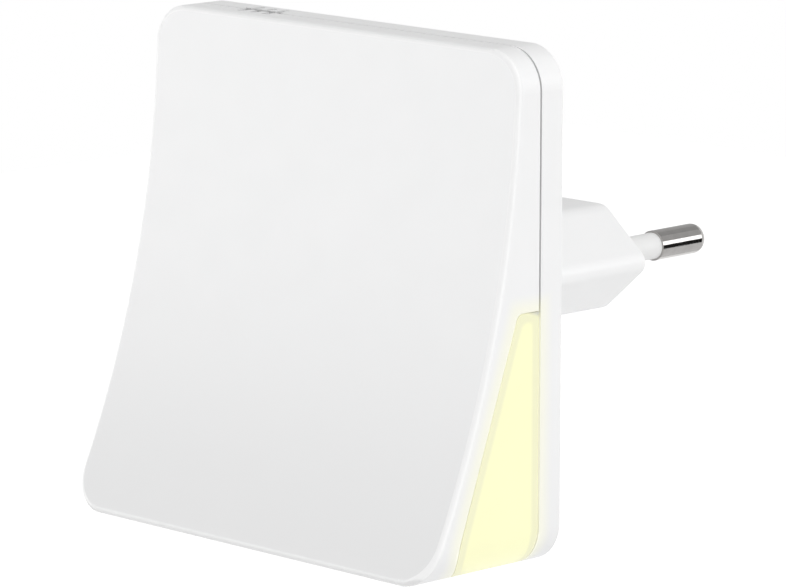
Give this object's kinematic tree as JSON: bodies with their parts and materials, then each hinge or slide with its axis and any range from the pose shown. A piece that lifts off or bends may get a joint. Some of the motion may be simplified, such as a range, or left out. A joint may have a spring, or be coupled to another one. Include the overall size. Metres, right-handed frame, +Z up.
{
  "type": "plug-in night light",
  "caption": "White square night light with a hollow front and a glowing lower edge, on a flat mains plug, with a daylight sensor in its top.",
  "frame": {"origin": "centre of the plug's end face, between the two pins, where it meets the wall socket", "axes": "+Y along the plug into the wall, -Y into the room, +Z up, +X to the right for someone who faces the light"},
  "size_m": [0.0658, 0.0739, 0.0645],
  "materials": {
    "shell_white": "fine satin moulding, slightly glossy",
    "diffuser_milk": "milky translucent plastic, lit from inside, pale warm yellow",
    "pin_nickel": "nickel-plated brass, polished",
    "sleeve_white": "satin",
    "screw_steel": "zinc plated",
    "reflector_white": "bright matt white",
    "clear_plastic": "clear acrylic",
    "inner_plastic": "satin",
    "board_laminate": "green solder mask",
    "capacitor_case": "moulded box",
    "can_sleeve": "shrunk sleeve",
    "resistor_coating": "flameproof lacquer",
    "chip_black": "glazed",
    "moulding_black": "moulded epoxy",
    "sensor_tint": "dark clear epoxy",
    "led_frame": "white frame, yellow phosphor",
    "wire_blue": "pvc jacket",
    "wire_brown": "pvc jacket"
  },
  "bodies": {
    "root": {"front_cover": "shell_white", "rear_cover": "shell_white", "light_diffuser": "diffuser_milk", "plug_pin_left": "pin_nickel", "plug_pin_right": "pin_nickel", "pin_sleeve_left": "sleeve_white", "pin_sleeve_right": "sleeve_white", "housing_screws": "screw_steel", "light_reflector": "reflector_white", "light_pipe": "clear_plastic", "pin_retainer": "inner_plastic", "circuit_board": "board_laminate", "dropper_capacitor": "capacitor_case", "smoothing_capacitor": "can_sleeve", "fusible_resistor": "resistor_coating", "bleed_resistor": "chip_black", "bias_resistor": "chip_black", "led_resistor_left": "chip_black", "led_resistor_right": "chip_black", "bridge_rectifier": "moulding_black", "zener_diode": "moulding_black", "switching_transistor": "moulding_black", "light_sensor": "sensor_tint", "upper_led_left": "led_frame", "upper_led_right": "led_frame", "lower_led_left": "led_frame", "lower_led_right": "led_frame", "lead_wire_left": "wire_blue", "lead_wire_right": "wire_brown", "board_screws": "screw_steel"}
  },
  "joints": []
}
